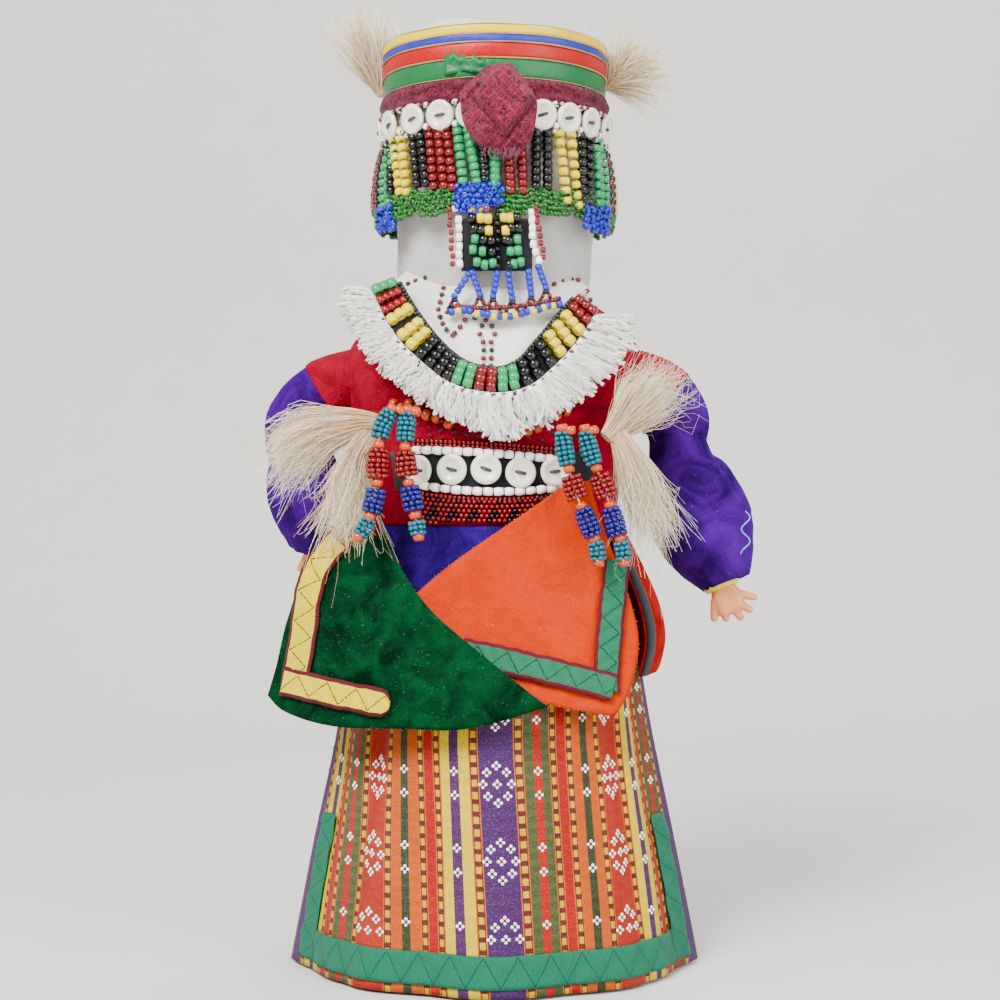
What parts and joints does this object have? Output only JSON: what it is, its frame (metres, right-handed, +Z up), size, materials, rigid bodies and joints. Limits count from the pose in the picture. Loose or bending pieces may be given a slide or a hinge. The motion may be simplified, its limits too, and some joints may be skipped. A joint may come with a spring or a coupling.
{
  "type": "folk doll in festive dress",
  "caption": "Standing folk doll in festive dress, with a ribboned drum hat, a beaded veil, a fringed collar, velvet flaps and a long brocade skirt; it stands on its flat underside.",
  "frame": {"origin": "middle of the flat underside of the skirt", "axes": "+Z up; the doll faces -Y; its left hand, the bare one at the right of the picture, is towards +X"},
  "size_m": [0.1826, 0.1455, 0.3394],
  "materials": {
    "brocade": "striped satin brocade",
    "teal_ribbon": "satin ribbon",
    "crimson_velvet": "velvet",
    "scarlet_velvet": "velvet",
    "purple_velvet": "velvet",
    "indigo_velvet": "velvet",
    "green_velvet": "velvet",
    "orange_velvet": "velvet",
    "gold_ribbon": "satin ribbon with stitching",
    "black_cloth": "plain weave",
    "white_cloth": "plain weave",
    "white_yarn": "twisted yarn",
    "burgundy_cloth": "wrinkled crepe",
    "pearl": "mother-of-pearl",
    "glass_beads": "opaque glass beads in several colours",
    "goat_hair": "loose hair",
    "vinyl": "satin vinyl",
    "yellow_satin": "satin ribbon",
    "blue_satin": "satin ribbon",
    "red_satin": "satin ribbon"
  },
  "bodies": {
    "root": {"skirt": "brocade", "apron": "brocade", "apron_border": "teal_ribbon", "jacket": "crimson_velvet", "jacket_skirt": "scarlet_velvet", "chest_panel": "crimson_velvet", "button_band": "black_cloth", "sash": "indigo_velvet", "flap_green": "green_velvet", "flap_green_trim": "gold_ribbon", "flap_orange": "orange_velvet", "flap_orange_trim": "teal_ribbon", "sleeve_right": "purple_velvet", "sleeve_left": "purple_velvet", "cuff_right": "yellow_satin", "cuff_left": "yellow_satin", "hand_right": "vinyl", "hand_left": "vinyl", "head_veil": "white_cloth", "hat": "white_cloth", "hat_ribbon_green": "teal_ribbon", "hat_ribbon_red": "red_satin", "hat_ribbon_blue": "blue_satin", "hat_ribbon_yellow": "yellow_satin", "headband": "burgundy_cloth", "headband_knot": "burgundy_cloth", "bead_curtain": "glass_beads", "face_strip": "black_cloth", "face_strip_fringe": "glass_beads", "bib": "white_cloth", "collar_beads": "glass_beads", "collar_fringe": "white_yarn", "bead_string_left_outer": "glass_beads", "bead_string_left_inner": "glass_beads", "bead_string_right_inner": "glass_beads", "bead_string_right_outer": "glass_beads", "hat_tuft_left": "goat_hair", "hat_tuft_right": "goat_hair", "chest_tuft_left": "goat_hair", "chest_tuft_right": "goat_hair", "chest_button_1": "pearl", "chest_button_2": "pearl", "chest_button_3": "pearl", "chest_button_4": "pearl", "chest_button_5": "pearl", "head_button_01": "pearl", "head_button_02": "pearl", "head_button_03": "pearl", "head_button_04": "pearl", "head_button_05": "pearl", "head_button_06": "pearl", "head_button_07": "pearl", "head_button_08": "pearl", "head_button_09": "pearl", "head_button_10": "pearl", "head_button_11": "pearl", "head_button_12": "pearl", "head_button_13": "pearl"}
  },
  "joints": []
}
